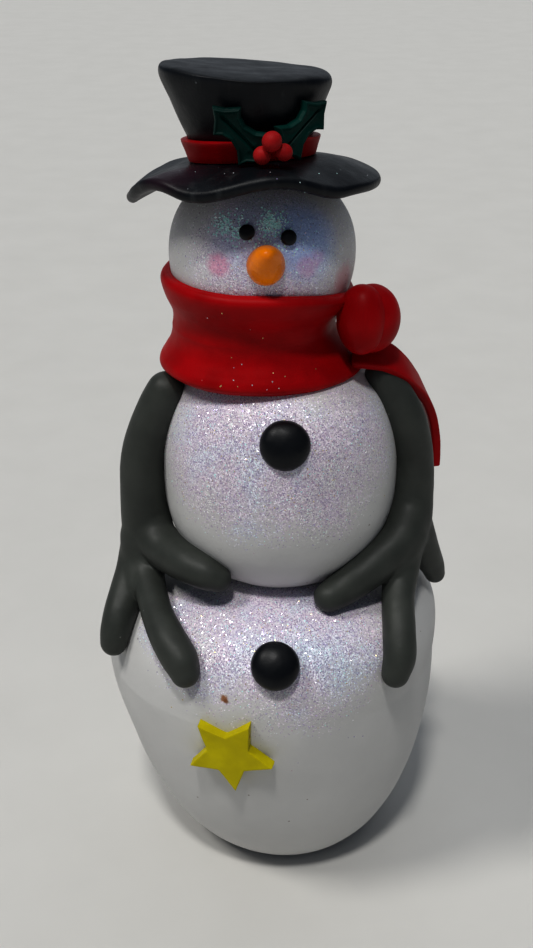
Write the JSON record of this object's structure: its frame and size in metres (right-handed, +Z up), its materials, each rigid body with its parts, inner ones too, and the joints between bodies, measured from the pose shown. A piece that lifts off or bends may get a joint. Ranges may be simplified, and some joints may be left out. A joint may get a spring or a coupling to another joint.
{
  "type": "clay snowman figurine",
  "caption": "Hand-modelled clay snowman figurine with top hat, holly, carrot nose, knotted scarf, forked twig arms, buttons and a star.",
  "frame": {"origin": "centre of the lower ball's flat underside, on the surface that the figurine stands on", "axes": "+Z up through the stacked balls; the face looks along -Y; +X is to the right of a viewer who faces it"},
  "size_m": [0.0791, 0.08, 0.1829],
  "materials": {
    "white_clay": "matte white clay dusted with fine iridescent glitter",
    "hat_black_clay": "matte black clay with faint dusty brush marks",
    "black_clay": "black clay with a soft sheen",
    "charcoal_clay": "dark grey-green clay, satin",
    "red_clay": "satin red clay with sparse glitter specks",
    "green_clay": "deep green clay, satin",
    "orange_clay": "orange clay, satin, lightly pinched at the tip",
    "yellow_clay": "bright yellow clay, satin"
  },
  "bodies": {
    "root": {"lower_ball": "white_clay", "middle_ball": "white_clay", "head": "white_clay", "nose": "orange_clay", "eye_left": "black_clay", "eye_right": "black_clay", "button_upper": "black_clay", "button_lower": "black_clay", "star": "yellow_clay", "arm_left": "charcoal_clay", "arm_right": "charcoal_clay", "scarf_wrap": "red_clay", "scarf_knot_front": "red_clay", "scarf_knot_back": "red_clay", "scarf_tail": "red_clay", "hat_brim": "hat_black_clay", "hat_crown": "hat_black_clay", "hat_band": "red_clay", "holly_leaf_left": "green_clay", "holly_leaf_right": "green_clay", "berry_top": "red_clay", "berry_left": "red_clay", "berry_right": "red_clay"}
  },
  "joints": []
}
